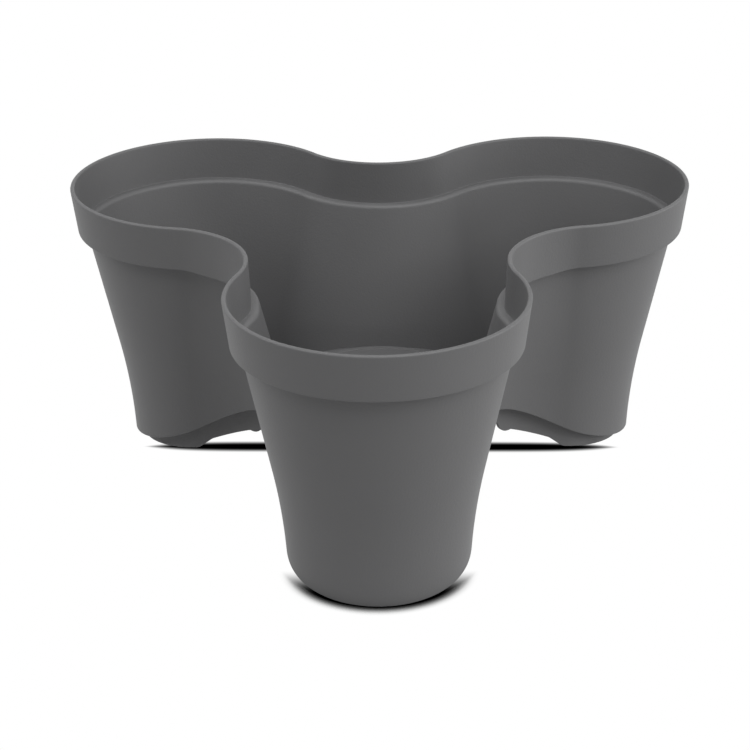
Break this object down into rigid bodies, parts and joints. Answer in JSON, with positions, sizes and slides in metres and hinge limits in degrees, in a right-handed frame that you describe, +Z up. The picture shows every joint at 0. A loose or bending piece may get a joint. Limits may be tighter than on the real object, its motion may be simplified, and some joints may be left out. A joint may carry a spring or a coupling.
{
  "type": "indoor herb planter",
  "caption": "Clover-shaped indoor herb planter: cups that open into one another, a banded rim, an arched underside, a lift-out watering disc and pull-out drain plugs.",
  "frame": {"origin": "on the surface that the planter stands on, below the middle of its width and depth", "axes": "+Z up, +X to the right across the two rear lobes, and one lobe points to the front along -Y"},
  "size_m": [0.3726, 0.3447, 0.162],
  "materials": {
    "body_plastic": "fine matte grain",
    "disc_plastic": "fine matte grain",
    "plug_rubber": "soft matte"
  },
  "bodies": {
    "planter": {"planter_body": "body_plastic"},
    "watering_disc": {"watering_disc": "disc_plastic"},
    "drain_plug_front": {"drain_plug_front": "plug_rubber"},
    "drain_plug_left": {"drain_plug_left": "plug_rubber"},
    "drain_plug_right": {"drain_plug_right": "plug_rubber"}
  },
  "joints": [
    {"name": "watering_disc_lift", "type": "slide", "parent": "planter", "child": "watering_disc", "axis": [0, 0, 1], "range_m": [0, 0.12]},
    {"name": "drain_plug_front_pull", "type": "slide", "parent": "planter", "child": "drain_plug_front", "axis": [0, 0, 1], "range_m": [0, 0.16]},
    {"name": "drain_plug_left_pull", "type": "slide", "parent": "planter", "child": "drain_plug_left", "axis": [0, 0, 1], "range_m": [0, 0.16]},
    {"name": "drain_plug_right_pull", "type": "slide", "parent": "planter", "child": "drain_plug_right", "axis": [0, 0, 1], "range_m": [0, 0.16]}
  ]
}
